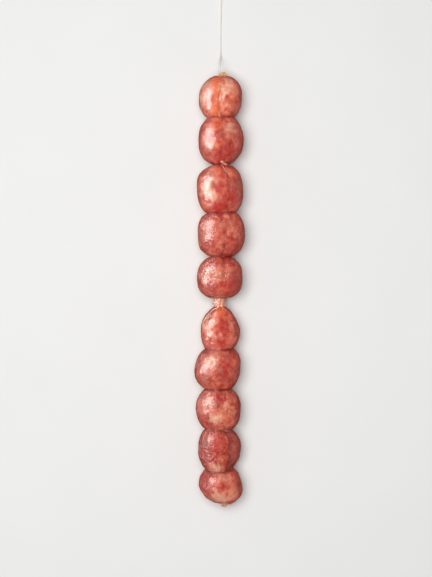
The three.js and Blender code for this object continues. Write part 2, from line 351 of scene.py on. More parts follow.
def halfLink(link, endRadius, side):
    # quarter of a squared oval from the widest ring, stopped where the link ends at endRadius
    square = link["squareAbove" if side > 0 else "squareBelow"]
    lastAngle = math.acos((endRadius / link["radius"]) ** (square / 2))
    reach = link["top"] - link["widest"] if side > 0 else link["widest"] - link["bottom"]
    angles = np.linspace(0, lastAngle, casing["outlineSteps"])
    along = link["widest"] + side * reach * (np.sin(angles) / math.sin(lastAngle)) ** (2 / square)
    return list(zip(link["radius"] * np.cos(angles) ** (2 / square), along))


def casingOutline():
    # (radius, along, link, hidden) down the whole casing, from the top pinch to the lower one
    top, low = tufts["hanging"], tufts["lower"]
    last = links[-1]
    neckEnd = freeNeck["radius"] * freeNeck["flare"]
    gap = casing["pressedGap"] / 2
    rows = []

    def add(points, link, hidden):
        rows.extend((r, a, link, hidden) for r, a in points)

    def groove(contact):
        return max(casing["neck"], contact - casing["grooveDepth"])

    floor = links[0]["top"] - top["dimple"]
    pinch = top["pinch"]
    add([(pinch, floor + top["throat"]), (pinch, floor), (top["rim"] * tufts["floor"], floor)], 0, 0.6)
    for index, link in enumerate(links):
        pressedAbove = index > 0 and index - 1 != freeNeck["after"]
        pressedBelow = link is not last and index != freeNeck["after"]
        above = top["rim"] if index == 0 else neckEnd
        below = low["rim"] if link is last else neckEnd
        if pressedAbove:
            above = contactRadius(index - 1)
            add([(groove(above), link["top"] - gap)], index, 1.0)
        if pressedBelow:
            below = contactRadius(index)
        add(halfLink(link, above, 1)[::-1], index, 0.0)
        add(halfLink(link, below, -1)[1:], index, 0.0)
        if pressedBelow:
            add([(groove(below), link["bottom"] + gap)], index, 1.0)
        elif index == freeNeck["after"]:
            neck = [(freeNeck[size] * times, link["bottom"] - freeNeck["along"] * share)
                    for size, times, share in freeNeck["profile"]]
            add(neck, index + 0.5, 0.0)
    edge = last["bottom"] + low["dimple"]
    add([(low["rim"] * tufts["floor"], edge), (low["pinch"], edge), (low["pinch"], edge - low["throat"])],
        len(links) - 1, 0.6)
    return np.array(rows)


def resampleOutline(rows):
    # walk the outline finely, round its corners, then drop the rings in: close where they show
    dense, soft = casing["walkStep"], casing["lipSoftness"]
    walked = walkedTo(rows[:, :2])
    fine = readAt(np.arange(0, walked[-1], dense), walked, rows)
    reach = int(3 * soft / dense)
    kernel = np.exp(-0.5 * (np.arange(-reach, reach + 1) * dense / soft) ** 2)
    kernel /= kernel.sum()
    for k in (0, 1):
        padded = np.pad(fine[:, k], reach, mode="edge")
        fine[:, k] = np.convolve(padded, kernel, mode="valid")
    spacing = casing["spacing"] + (casing["hiddenSpacing"] - casing["spacing"]) * (fine[:, 3] > 0.8)
    spent = np.cumsum(dense / spacing)
    wanted = np.linspace(spent[0], spent[-1], int(spent[-1]) + 1)
    return readAt(wanted, spent, fine)


def middleLine(along):
    # how far aside and how high the middle of the casing lies
    top, low, lowest = tufts["hanging"], tufts["lower"], links[-1]["bottom"]
    stations = [(casingHigh.y / mm, *top["tip"]), (links[0]["top"], *top["base"])]
    stations += [(link["widest"], link["aside"], link["radius"] - casing["sag"]) for link in links]
    stations += [(lowest + 3.5, *low["start"]), (lowest, *low["base"]), (casingLow.y / mm, *low["tip"])]
    table = np.array(stations)[::-1]
    after = np.clip(np.searchsorted(table[:, 0], along), 1, len(table) - 1)
    lower, upper = table[after - 1], table[after]
    share = np.clip((along - lower[..., 0]) / (upper[..., 0] - lower[..., 0]), 0, 1)
    share = share * share * (3 - 2 * share)
    aside, height = (lower[..., k] + (upper[..., k] - lower[..., k]) * share for k in (1, 2))
    for link in links:
        reach = (along - link["middle"]) / (link["along"] / 2)
        aside += link["skew"] * np.sin(math.pi * reach) * (abs(reach) < 1)
    return aside, height


def rolling(points, wavelength, seed, waves=22):
    # soft even noise: plane waves crossing in every direction
    rng = np.random.default_rng(seed)
    total = np.zeros(points.shape[:-1])
    for _ in range(waves):
        direction = sized(rng.normal(size=3))
        length = wavelength * rng.uniform(0.7, 1.4)
        total += np.sin(points @ direction * (2 * math.pi / length) + rng.uniform(0, 2 * math.pi))
    return total / math.sqrt(waves / 2)


def gridNormals(grid):
    along = np.gradient(grid, axis=0)
    around = np.roll(grid, -1, 1) - np.roll(grid, 1, 1)
    normals = np.cross(along, around)
    length = np.linalg.norm(normals, axis=2)[:, :, None]
    return normals / np.maximum(length, 1e-9)


relief = {
    "lumps": [(12.0, 0.13, 3), (6.0, 0.07, 5), (3.2, 0.035, 8)],  # wavelength, height, seed
    "pleats": 0.17,  # height of the gathers that run out from a twist
    "pressedPleats": 0.55,  # share of it where links press on each other
    "pleatCount": 17,
    "sparsePleats": (11, 0.6),  # a second set: count, share
    "creaseCore": 4.0,  # degrees, the sharp bottom of a crease
    "creaseSpread": 12.0,  # degrees, its soft shoulders
    "coreShare": 0.3,  # of its depth
    "wander": [(1.6, 3.1), (0.8, 7.3)],  # degrees, and how often as it runs down a link
    "stepOver": 14,  # degrees from a crease to the full depth of its step
    "stepFrom": 50,  # degrees round, where the step starts to run out
    "stepTo": 88,
    "fullDepthFrom": 12,  # radius below which creases get shallower
}

# Low swells (and hollows, below 0) of the meat under the casing. For each link: how far towards
# the hanging end (-1 to 1), degrees round, size in mm, height in mm.
swells = {
    1: [(-0.3, -14, 7.0, 0.6)],
    2: [(0.3, -10, 6.0, 0.5)],
    5: [(0.1, -18, 8.0, 0.9)],
    6: [(0.5, -8, 7.5, 1.3)],
    7: [(0.4, -12, 7.5, 1.1)],
    8: [(0.45, -20, 6.5, 1.2), (0.0, -58, 8.0, -0.5)],
    9: [(0.42, 6, 7.0, 1.1), (0.38, -56, 8.0, -2.2)],
}
# link: degrees round, spread, how far that side of it stops short of its lower end, and from how
# far above that end it is drawn up
shortSides = {8: (68, 30, 4.6, 2.0, 6.0)}


def bump(value, middle, spread):
    return np.exp(-((value - middle) / spread) ** 2)


def spotAt(link, along, degreesRound, reach, degree):
    # how far everything is from a spot on a link, in mm along it and round it
    x = along - link["middle"] - reach * link["along"] / 2
    return x, np.radians(degreesRound - degree) * link["radius"]


def columnAngles():
    # round the casing, closer together on the shown side
    share = (np.arange(casing["around"]) + 0.5) / casing["around"] - 0.5
    return 2 * math.pi * share - casing["topDensity"] * np.sin(2 * math.pi * share)


def creaseField(index, degreesRound, reach):
    link = links[index]
    towards = link["creaseTowards"]
    lean = np.clip(0.5 + 0.5 * reach * np.sign(towards), 0, 1)
    strength = 1 - abs(towards) * (1 - lean)
    off = degreesRound - link["creaseRound"]
    for k, (by, often) in enumerate(relief["wander"]):
        off = off - by * np.sin(often * reach + (k + 1) * index)
    core = np.exp(-(off / relief["creaseCore"] / link["creaseWide"]) ** 2)
    shoulder = np.exp(-(off / relief["creaseSpread"]) ** 2)
    deep = link["creaseDeep"] * (relief["coreShare"] * core + (1 - relief["coreShare"]) * shoulder)
    runOut = (relief["stepTo"] - degreesRound) / (relief["stepTo"] - relief["stepFrom"])
    deep += link["creaseStep"] * np.clip(off / relief["stepOver"], 0, 1) * np.clip(runOut, 0, 1)
    # the second value is the painted shade along the bottom of the crease
    return strength * deep, strength * link["creaseShade"] * core


def pleatField(index, turned, closeness, upper):
    # gathers that run out from the twist at each end of a link
    freeAbove = index == 0 or index - 1 == freeNeck["after"]
    freeBelow = index == len(links) - 1 or index == freeNeck["after"]
    pressed = relief["pressedPleats"]
    strength = np.where(upper, 1.0 if freeAbove else pressed, 1.0 if freeBelow else pressed)
    phase = 2.3 * index + np.where(upper, 0, 1.9)
    spokes = np.cos(relief["pleatCount"] * turned + phase + 1.2 * np.sin(3 * turned + phase))
    count, share = relief["sparsePleats"]
    spokes += share * np.cos(count * turned - 2 * phase)
    return strength * closeness * spokes


def slideAlong(along, turned, degreesRound, linkOf):
    # the seams between pressed links don't run quite square, and one side of a link can run on
    slide = np.zeros_like(along)
    for index, seam in enumerate(seams):
        near = bump(along, links[index]["bottom"], casing["seamReach"])
        front = casing["sideDroop"] + (1 - casing["sideDroop"]) * np.cos(turned)
        slide += near * (-seam["droop"] * front + seam["tilt"] * np.sin(turned))
    for index, (middle, spread, by, above, reach) in shortSides.items():
        near = bump(along, links[index]["bottom"] + above, reach) * (linkOf == index)[:, None]
        slide += by * near * bump(degreesRound, middle, spread)
    return slide


def shapeCasing():
    rings = resampleOutline(casingOutline())
    angle = columnAngles()
    radius, along, _, hidden = (rings[:, k][:, None] + 0 * angle for k in range(4))
    turned = angle[None, :] + 0 * along
    degreesRound = np.degrees(turned)
    linkOf = np.floor(rings[:, 2]).astype(int)
    onNeck = rings[:, 2] % 1 > 0.25
    slide = slideAlong(along, turned, degreesRound, linkOf)

    factor = np.ones_like(along)
    creaseDepth, creaseShadeLine, tone, crackle, edge, pleats = (np.zeros_like(along) for _ in range(6))
    for index, link in enumerate(links):
        rows = (linkOf == index) & ~onNeck
        reach = (along[rows] - link["middle"]) / (link["along"] / 2)
        two = np.sin(2 * turned[rows] + 1.7 * index + 0.6)
        three = np.sin(3 * turned[rows] + 2.9 * index + 1.5 * reach)
        factor[rows] += casing["oval"] * two + casing["threeSided"] * three
        creaseDepth[rows], creaseShadeLine[rows] = creaseField(index, degreesRound[rows], reach)
        tone[rows] = link["tone"]
        crackle[rows] = link["crackled"]
        edge[rows] = np.clip(1.25 * (1 - np.minimum(1, radius[rows] / link["radius"])), 0, 1) ** 1.1
        pleats[rows] = pleatField(index, turned[rows], edge[rows], along[rows] > link["widest"])

    # the twist that shows: lengthwise folds that wind round it
    neckTop = links[freeNeck["after"]]["bottom"]
    wind = math.radians(freeNeck["twist"]) * (neckTop - along[onNeck])
    for count, windBy, share in freeNeck["folds"]:
        factor[onNeck] += freeNeck["foldDepth"] * share * np.cos(count * turned[onNeck] + windBy * wind)
    frillMiddle = neckTop - freeNeck["frillAt"] * freeNeck["along"]
    frill = bump(along[onNeck], frillMiddle, freeNeck["frillWide"])
    factor[onNeck] -= freeNeck["frillCut"] * frill * (0.5 + np.sin(turned[onNeck]))
    edge[onNeck] = 1.0

    aside, height = middleLine(along)
    r = radius * factor
    grid = np.stack([aside + r * np.sin(turned), along + slide, height + r * np.cos(turned)], axis=2)

    shown = 1 - np.clip(hidden, 0, 1)
    normals = gridNormals(grid)
    lift = -creaseDepth * np.minimum(1, radius / relief["fullDepthFrom"])
    for wavelength, high, seed in relief["lumps"]:
        lift += high * rolling(grid, wavelength, casing["seed"] + seed)
    lift += relief["pleats"] * pleats
    for index, lumps in swells.items():
        for reach, degree, size, high in lumps:
            x, y = spotAt(links[index], along, degreesRound, reach, degree)
            lift += high * np.exp(-(x * x + y * y) / (size * size))
    grid += normals * (lift * shown)[:, :, None]

    # nothing goes below the surface: it flattens softly where it rests
    grid[:, :, 2] = 0.5 * (grid[:, :, 2] + np.sqrt(grid[:, :, 2] ** 2 + casing["restSoftness"]))
    # painted shade: darker red inside the seams and along each pressed seam, joined to the crease shade
    # in one mark
    grooveShade = np.clip(hidden * 1.2, 0, 1) * casing["hiddenShade"]
    for index, link in enumerate(links[:-1]):
        if index != freeNeck["after"]:
            grooveShade += seams[index]["dark"] * bump(along, link["bottom"], casing["seamWide"])
    marks = {"crease": creaseShadeLine * shown + grooveShade, "tone": tone, "crackle": crackle, "edge": edge}
    return grid, marks, along, degreesRound, onNeck


# Thin folds of spare casing that stand up from a link: stops down the fold as how far towards the
# hanging end (-1 to 1) and degrees round, then its thickness in mm and how pale it is.
spareFolds = [
    {"link": 5, "thick": 0.95, "pale": 0.9,
     "stops": [(1.0, -6), (0.92, -34), (0.80, -48), (0.62, -53), (0.45, -57), (0.25, -64)]},
    {"link": 5, "thick": 0.6, "pale": 0.35, "stops": [(0.98, 12), (0.86, 30), (0.74, 36)]},
    {"link": 2, "thick": 1.9, "pale": 0.25, "narrows": 0.75,
     "stops": [(0.97, 8), (0.86, 15), (0.72, 19), (0.6, 22)]},
    {"link": 3, "thick": 1.1, "pale": 0.2, "narrows": 0.3,
     "stops": [(0.83, -22), (0.80, -13), (0.72, -5), (0.66, -3)]},
    {"link": 8, "thick": 0.6, "pale": 0.3, "stops": [(0.75, -48), (0.6, -54), (0.35, -58)]},
    {"link": 6, "thick": 0.4, "pale": 0.2,
     "stops": [(-0.14, -58), (-0.2, -38), (-0.17, -20), (-0.23, -4)]},
    {"link": 5, "thick": 0.4, "pale": 0.15,
     "stops": [(-0.22, 8), (-0.27, 24), (-0.24, 38), (-0.27, 52)]},
]
# wide, high and proud are in thicknesses
foldShape = {"step": 0.5, "sides": 8, "wide": 0.5, "high": 0.42, "proud": 0.05, "wobble": 0.2}


def pointsOn(grid, rows, columns):
    # on the casing's surface, between its corners
    r0, c0 = rows.astype(int), columns.astype(int)
    fr, fc = (rows - r0)[:, None], (columns - c0)[:, None]

    def corner(i, j):
        return grid[np.clip(r0 + i, 0, len(grid) - 1), (c0 + j) % grid.shape[1]]

    return (corner(0, 0) * (1 - fr) + corner(1, 0) * fr) * (1 - fc) \
        + (corner(0, 1) * (1 - fr) + corner(1, 1) * fr) * fc


def makeSpareFolds(grid, along):
    columnAt = np.degrees(columnAngles())
    rowAt = -along[:, grid.shape[1] // 2]
    angle = evenAngles(foldShape["sides"])
    rings, faces, pale = [], [], []
    for fold in spareFolds:
        link = links[fold["link"]]
        half = link["along"] / 2
        stops = [(link["middle"] + reach * half, degree, 0.0) for reach, degree in fold["stops"]]
        path, _ = smoothRoute(stops, foldShape["step"])
        points = pointsOn(grid, np.interp(-path[:, 0], rowAt, np.arange(len(rowAt))),
                          np.interp(path[:, 1], columnAt, np.arange(len(columnAt))))
        count = len(points)
        aside, height = middleLine(points[:, 1])
        out = sized(points - np.stack([aside, points[:, 1], height], axis=1))
        side = np.cross(sized(np.gradient(points, axis=0)), out)
        faces += tubeFaces(count, len(angle), len(pale))
        for i in range(count):
            taper = math.sin(math.pi * (0.06 + 0.88 * i / (count - 1))) ** 0.5
            taper *= 1 - fold.get("narrows", 0) * i / (count - 1)
            wobble = 1 + foldShape["wobble"] * math.sin(2.1 * i) * math.sin(0.7 * i)
            thick = fold["thick"] * taper * wobble
            middle = points[i] + out[i] * foldShape["proud"] * thick
            wide, high = side[i] * foldShape["wide"], out[i] * foldShape["high"]
            rings.append(ringOf(middle, wide, high, angle, thick))
        pale += [fold["pale"]] * (count * len(angle))
    obj = meshFrom("spareFolds", np.vstack(rings), faces)
    evenMarks(obj, {"edge": 1.0, "twist": np.sqrt(pale), "pale": pale})
    return addPiece(obj)


# The rose patches are mostly painted shade on the sides turned from the light, and the cream patches on
# the left are partly painted highlight.
# Broad patches where lean, fat, paprika oil, pale cream or a duller rose tone shows through the casing.
# For each link: how far towards the hanging end (-1 to 1), degrees round, size in mm, strength.
patches = {
    "orange": {
        0: [(0.75, -16, 4.4, 1.6), (0.35, -14, 4.0, 1.0), (-0.1, -13, 4.4, 1.2), (-0.7, -15, 5.2, 1.7),
            (0.45, -33, 4.0, 0.7), (-0.1, 30, 5.5, 0.8)],
        1: [(0.66, -12, 4.8, 3.4), (-0.28, -14, 3.4, 1.2), (0.1, -8, 2.6, 0.5)],
        2: [(0.65, -10, 6.0, 0.8), (-0.4, -18, 4.0, 0.45), (-0.36, -54, 3.6, 0.6), (0.55, 36, 3.5, 0.4)],
        3: [(0.2, -10, 4.2, 0.65), (-0.2, -10, 4.0, 0.5), (0.8, 46, 2.5, 0.4), (-0.7, -6, 3.5, 0.4)],
        4: [(0.5, 0, 4.0, 0.5), (-0.8, 2, 5.0, 0.5), (0.1, -10, 3.5, 0.45)],
        5: [(0.74, 1, 5.6, 3.6), (0.03, -19, 3.6, 2.4), (0.45, 6, 4.5, 1.0)],
        6: [(-0.38, -8, 3.0, 0.6), (0.7, 12, 4.0, 0.4)],
        7: [(-0.03, 20, 7.5, 0.65), (0.3, 34, 5.0, 0.3), (-0.6, 10, 5.0, 0.4)],
        8: [(-0.39, 4, 2.8, 0.8), (0.3, 8, 4.5, 0.4)],
        9: [(-0.07, 36, 6.0, 0.7), (-0.5, 10, 5.0, 0.5)],
    },
    "fat": {
        0: [(0.55, 24, 5.6, 1.2), (0.05, 16, 4.0, 0.9), (-0.6, 12, 3.4, 0.7), (0.5, -40, 5.0, 0.6)],
        1: [(0.44, 28, 6.2, 1.1), (-0.2, 36, 4.4, 0.6), (-0.1, -42, 6.0, 0.6), (0.2, 0, 3.0, 0.3)],
        2: [(-0.41, -18, 5.0, 1.2), (0.72, -32, 4.0, 0.8), (0.72, 21, 1.8, 0.8), (-0.1, -44, 6.0, 0.7)],
        3: [(0.84, 19, 3.0, 0.6), (0.4, 2, 4.4, 0.6), (0.5, 30, 4.0, 0.5), (0.0, 34, 4.5, 0.4),
            (-0.5, -4, 3.5, 0.6)],
        4: [(0.35, -4, 5.6, 0.6), (0.1, 2, 4.0, 0.7), (0.0, -34, 5.5, 0.4)],
        5: [(0.45, -20, 6.0, 0.9), (-0.4, -24, 4.6, 0.8), (-0.57, 48, 3.0, 0.5), (0.2, 38, 5.0, 0.5)],
        6: [(0.35, -24, 6.5, 0.6), (0.75, 0, 3.5, 0.6), (-0.5, -33, 3.6, 0.45), (0.15, 39, 5.5, 0.3),
            (0.1, 0, 4.5, 0.6)],
        7: [(0.75, -32, 4.0, 0.7), (0.3, 18, 5.0, 0.7), (0.0, 24, 7.0, 0.5), (0.2, -34, 6.0, 0.8),
            (-0.3, 0, 4.0, 0.6)],
        8: [(-0.8, -8, 5.0, 1.0), (-0.7, -30, 3.6, 0.7), (0.55, 21, 2.0, 0.7), (0.1, 50, 2.5, 0.3)],
        9: [(0.66, 8, 4.6, 0.8), (0.45, 30, 4.0, 0.4), (-0.45, -14, 6.5, 1.2), (-0.3, 30, 6.0, 0.8),
            (-0.85, 0, 6.5, 0.8)],
    },
    # cream patches: pale fat, and on the lit left sides and beside the first link's crease also painted
    # highlight
    "creamAndHighlight": {
        0: [(0.5, 27, 3.4, 0.5), (0.12, 10, 2.4, 1.3), (-0.12, 9, 2.4, 1.4), (0.0, 15, 3.0, 0.8),
            (0.5, 11, 2.6, 0.8), (0.0, -60, 5.0, 0.8), (0.55, -54, 4.6, 0.9), (-0.45, -58, 4.6, 0.8)],
        1: [(-0.3, -26, 4.0, 0.6)],
        2: [(-0.4, -18, 4.0, 0.7), (0.0, -36, 5.0, 0.6), (0.3, -14, 4.2, 0.8), (-0.2, -56, 5.0, 0.5)],
        3: [(0.25, -44, 4.0, 0.6), (0.5, 30, 3.5, 0.4)],
        4: [(0.1, -40, 4.0, 0.6), (0.4, -34, 3.0, 0.5)],
        5: [(0.1, -60, 5.0, 1.0), (-0.4, -30, 3.6, 0.4)],
        6: [(0.5, -26, 4.4, 0.5)],
        7: [(-0.46, -13, 3.8, 1.8), (-0.4, 8, 2.6, 0.7), (0.25, -14, 4.0, 0.9)],
        8: [(-0.72, -8, 3.0, 0.6), (-0.4, 2, 3.0, 0.5)],
        9: [(-0.7, -6, 4.0, 0.6), (-0.5, -34, 4.0, 0.6)],
    },
    "lean": {
        0: [(0.2, 4, 2.0, 0.3), (-0.25, 24, 1.6, 0.6), (0.85, 20, 3.0, 0.4)],
        1: [(0.66, -10, 3.6, 0.9), (0.22, -18, 3.0, 1.5), (-0.1, 17, 4.0, 0.9), (-0.42, 32, 5.5, 1.1),
            (-0.76, -4, 6.6, 1.3)],
        2: [(0.07, -4, 4.2, 0.9), (-0.76, -4, 6.2, 1.4), (0.8, 8, 3.4, 0.6), (-0.2, 22, 2.6, 0.7),
            (-0.42, 32, 5.5, 1.1)],
        3: [(0.86, -12, 4.6, 2.0), (0.72, 31, 2.6, 0.8), (-0.2, 16, 3.0, 0.7), (-0.38, -25, 4.4, 1.4),
            (-0.2, 19, 2.4, 0.9), (-0.5, 34, 4.5, 0.7)],
        4: [(0.82, -18, 4.0, 0.8), (-0.36, 15, 3.4, 1.6), (-0.5, -16, 5.8, 0.9), (0.82, 26, 5.0, 1.8),
            (-0.45, 36, 5.0, 0.8)],
        5: [(0.2, 10, 5.4, 1.9), (-0.15, 10, 5.0, 1.5), (-0.66, -30, 4.4, 1.0), (-0.8, 16, 4.0, 1.2)],
        6: [(0.35, 22, 4.0, 0.9), (0.0, 20, 4.4, 1.4), (-0.05, -36, 4.0, 0.7), (-0.45, 17, 3.8, 1.2),
            (-0.45, -22, 2.4, 0.8)],
        7: [(0.52, 1, 4.4, 2.6), (0.68, 16, 3.2, 1.4), (-0.72, -24, 4.4, 1.2), (-0.55, 28, 3.8, 0.6),
            (-0.5, -40, 4.4, 0.6)],
        8: [(0.5, 3, 5.0, 1.3), (0.17, -15, 3.2, 1.8), (-0.25, -16, 3.8, 1.7), (-0.2, 12, 3.0, 0.8),
            (-0.35, -50, 6.0, 1.2), (-0.35, 50, 3.2, 0.8)],
        # the large lean patches to the upper left of the last link are painted shade
        9: [(0.15, 6, 5.0, 0.9), (0.45, -46, 7.5, 2.6), (0.0, -46, 5.0, 1.2), (0.6, 58, 4.4, 1.0)],
    },
    "roseAndShade": {
        0: [(-0.8, 42, 4.5, 0.5), (0.6, 58, 4.0, 0.4)],
        1: [(-0.2, 20, 6.0, 0.9), (-0.6, 50, 5.5, 1.4), (-0.6, -50, 5.0, 0.5), (0.0, 66, 5.0, 0.5)],
        2: [(-0.07, 40, 8.0, 1.2), (0.6, -50, 4.0, 0.5), (-0.6, 40, 5.0, 0.5)],
        3: [(-0.15, -54, 4.6, 0.7), (-0.6, 31, 4.8, 0.6), (-0.1, 62, 5.0, 0.6)],
        4: [(0.0, 37, 5.6, 0.8), (-0.5, 50, 5.0, 0.6), (0.5, -52, 4.5, 0.5)],
        5: [(0.0, 66, 5.0, 0.8), (-0.7, 0, 4.0, 0.3)],
        6: [(0.3, -60, 4.5, 0.7), (-0.2, 60, 5.0, 0.5)],
        7: [(-0.25, 60, 5.0, 0.8), (-0.2, -60, 4.5, 0.4)],
        8: [(0.45, 60, 7.5, 1.8), (-0.3, 58, 7.0, 1.6), (0.2, -58, 6.5, 1.4), (-0.4, -50, 6.5, 1.6)],
        9: [(0.35, -56, 7.5, 2.0), (0.2, 62, 5.0, 0.9)],
    },
}


patchEdge = {
    "stir": 1.1,  # mm, how far the edge wanders
    "stirLength": 6.0,
    "seeds": (71, 73),
    "sharpness": 1.25,
    "shadedRight": (80, 30, 0.9),  # painted shade in the rose colour down the side to the right: degrees, spread, strength
}


def patchMarks(grid, along, degreesRound):
    stirAlong, stirRound = (patchEdge["stir"] * rolling(grid, patchEdge["stirLength"], seed)
                            for seed in patchEdge["seeds"])
    marks = {kind: np.zeros_like(along) for kind in patches}
    for kind, perLink in patches.items():
        for index, spots in perLink.items():
            for reach, degree, size, strength in spots:
                x, y = spotAt(links[index], along, degreesRound, reach, degree)
                away = ((x + stirAlong) ** 2 + (y + stirRound) ** 2) / (size * size)
                marks[kind] += strength * np.exp(-away ** patchEdge["sharpness"])
    # painted shade: the rose colour laid down the right side of every link, away from the light
    middle, spread, strength = patchEdge["shadedRight"]
    marks["roseAndShade"] += strength * bump(degreesRound, middle, spread)
    return marks


def writeMarks(obj, values):
    for key, value in values.items():
        layer = obj.data.attributes.new(key, "FLOAT", "POINT")
        layer.data.foreach_set("value", np.array(value, np.float32))


def evenMarks(obj, values):
    # the same mark all over a small piece
    count = len(obj.data.vertices)
    keys = ("crease", "tone", "crackle", "edge", "twist", "gold", "pale", *patches)
    writeMarks(obj, {key: np.full(count, values.get(key, 0.0)) for key in keys})


def gridMesh(name, grid, marks):
    # rings of corners closed with a fan at each end
    rings, around, _ = grid.shape
    verts = list(grid.reshape(-1, 3))
    faces = [(p, s, r, q) for p, q, r, s in ringQuads(rings, around)]
    values = {key: list(value.reshape(-1)) for key, value in marks.items()}
    for ring, flip in ((0, False), (rings - 1, True)):
        centre = len(verts)
        verts.append(grid[ring].mean(0))
        for key in values:
            values[key].append(float(marks[key][ring].mean()))
        for k in range(around):
            tri = (ring * around + k, ring * around + (k + 1) % around, centre)
            faces.append(tri[::-1] if flip else tri)
    obj = meshFrom(name, verts, faces)
    writeMarks(obj, values)
    return obj


# casing that has dried pale, near the twists
dryCasing = {
    "topAt": 1.0,  # above the first link
    "topSpread": 2.2,
    "lowSpread": 3.6,
    "neckAt": -3.8,  # from the link above the bare twist
    "neckSpread": 3.0,
    "startsAt": 0.5,  # of the way in from a link's widest ring
    "sharpness": 1.4,
    "pale": 0.8,
    "paleSpread": 1.6,
    "paleRound": (-50, 50),  # middle and spread, in degrees
    "gold": [(175, 12, 1.0), (-175, 12, 0.35)],  # station, spread, strength
}


def makeLinks():
    layOutLinks()
    grid, marks, along, degreesRound, onNeck = shapeCasing()
    marks.update(patchMarks(grid, along, degreesRound))
    marks["twist"] = np.zeros_like(along)
    marks["twist"][onNeck] = 1.0
    startsAt = dryCasing["startsAt"]
    nearAxis = np.clip((marks["edge"] - startsAt) / (1 - startsAt), 0, 1) ** dryCasing["sharpness"]
    neckMiddle = links[freeNeck["after"]]["bottom"] + dryCasing["neckAt"]
    stations = {
        links[0]["top"] + dryCasing["topAt"]: dryCasing["topSpread"],
        links[-1]["bottom"]: dryCasing["lowSpread"],
        neckMiddle: dryCasing["neckSpread"],
    }
    for station, spread in stations.items():
        marks["twist"] = np.maximum(marks["twist"], bump(along, station, spread) * nearAxis)
    marks["pale"] = dryCasing["pale"] * marks["twist"] * bump(along, neckMiddle, dryCasing["paleSpread"])
    marks["pale"] *= bump(degreesRound, *dryCasing["paleRound"])
    marks["gold"] = sum(share * bump(along, at, spread) for at, spread, share in dryCasing["gold"])
    obj = addPiece(gridMesh("sausageLinks", grid, marks), "sausage_string")
    return obj, makeSpareFolds(grid, along)


# gathered casing at the ends: from base to tip, flare and pinch are radii
ruffles = {
    "hangingTuft": {"base": (1.4, 170.1, 16.6), "tip": (2.5, 174.35, 16.6), "pinch": 1.5, "flare": 3.5,
                    "lobes": 5, "ragged": 0.9, "seed": 4, "wall": 0.25, "lift": 0.8, "gold": 1.0},
    "lowerTuft": {"base": (4.3, -167.0, 16.8), "tip": (2.9, -174.7, 17.2), "pinch": 4.6, "flare": 1.5,
                  "lobes": 7, "ragged": 0.5, "seed": 9, "wall": 0.4, "lift": 0.8, "gold": 0.35},
    "lowerTuftSide": {"base": (6.2, -167.6, 16.4), "tip": (6.6, -173.0, 17.0), "pinch": 3.4, "flare": 2.9,
                      "lobes": 5, "ragged": 0.9, "seed": 12, "wall": 0.4, "lift": 0.7, "gold": 0.45},
}
sleeve = {
    "around": 96,
    "steps": 16,
    "foldAtPinch": 0.10,
    "foldAtEdge": 0.26,
    "smallFold": 0.08,
    "leastRadius": 0.12,
    "flap": 0.35,  # how far the folds at the edge rise and fall, in lifts
    "tornWide": 0.16,  # how deep the edge is torn, as shares of the length
    "tornFine": 0.12,
    "wallAtPinch": 0.6,
}


def acrossAxis(axis, aside):
    # two directions square to an axis and to each other
    side = sized(np.cross(axis, aside))
    return side, np.cross(side, axis)


def makeRuffle(name, facts):
    # a sleeve of casing that opens from its pinch in folds, with a torn edge, then back inside
    rng = np.random.default_rng(facts["seed"])
    base, tip = np.array(facts["base"]), np.array(facts["tip"])
    axis = tip - base
    length = np.linalg.norm(axis)
    axis /= length
    side, up = acrossAxis(axis, (0, 0, 1.0))
    angle = evenAngles(sleeve["around"])
    phases = rng.uniform(0, 2 * math.pi, 6)
    lobes = facts["lobes"]
    folds = np.cos(lobes * angle + phases[0] + 0.7 * np.sin(2 * angle + phases[1]))
    small = np.cos((2 * lobes + 1) * angle + phases[2])
    torn = sleeve["tornWide"] * (1 + np.cos(3 * angle + phases[3]))
    torn += sleeve["tornFine"] * (1 + np.cos((lobes + 2) * angle + phases[4]))
    outward = [(step / (sleeve["steps"] - 1), 0) for step in range(sleeve["steps"])]
    rows = []
    for share, wall in outward + [(1 - share, facts["wall"]) for share, _ in outward]:
        opened = share ** 1.5
        r = facts["pinch"] + (facts["flare"] - facts["pinch"]) * opened
        foldHigh = sleeve["foldAtPinch"] + sleeve["foldAtEdge"] * opened
        r = r * (1 + foldHigh * folds + sleeve["smallFold"] * small)
        thick = wall * (sleeve["wallAtPinch"] + (1 - sleeve["wallAtPinch"]) * share)
        r = np.maximum(r - thick, sleeve["leastRadius"])
        far = length * share * (1 - facts["ragged"] * torn * share)
        flap = facts["lift"] * share * folds * sleeve["flap"]
        rows.append(ringOf(base, side, up, angle, r) + np.outer(far, axis) + np.outer(flap, up))
    obj = gridMesh(name, np.array(rows), {})
    evenMarks(obj, {"edge": 1.0, "twist": 1.0, "gold": facts["gold"]})
    return addPiece(obj)


# little ends of twisted casing that peep out between links
nubs = [
    {"start": (-0.3, 136.6, 27.6), "end": (-0.5, 141.3, 31.6), "wide": 1.4, "sharp": 1.0},
    {"start": (0.9, 102.0, 26.2), "end": (3.2, 99.4, 27.6), "wide": 1.5, "sharp": 0.2},
    {"start": (2.6, 99.9, 26.4), "end": (5.8, 98.4, 26.6), "wide": 1.3, "sharp": 0.4},
]
nubShape = {"around": 28, "steps": 22, "furrows": 3, "furrowDeep": 0.14, "wind": 5, "leastRadius": 0.06}


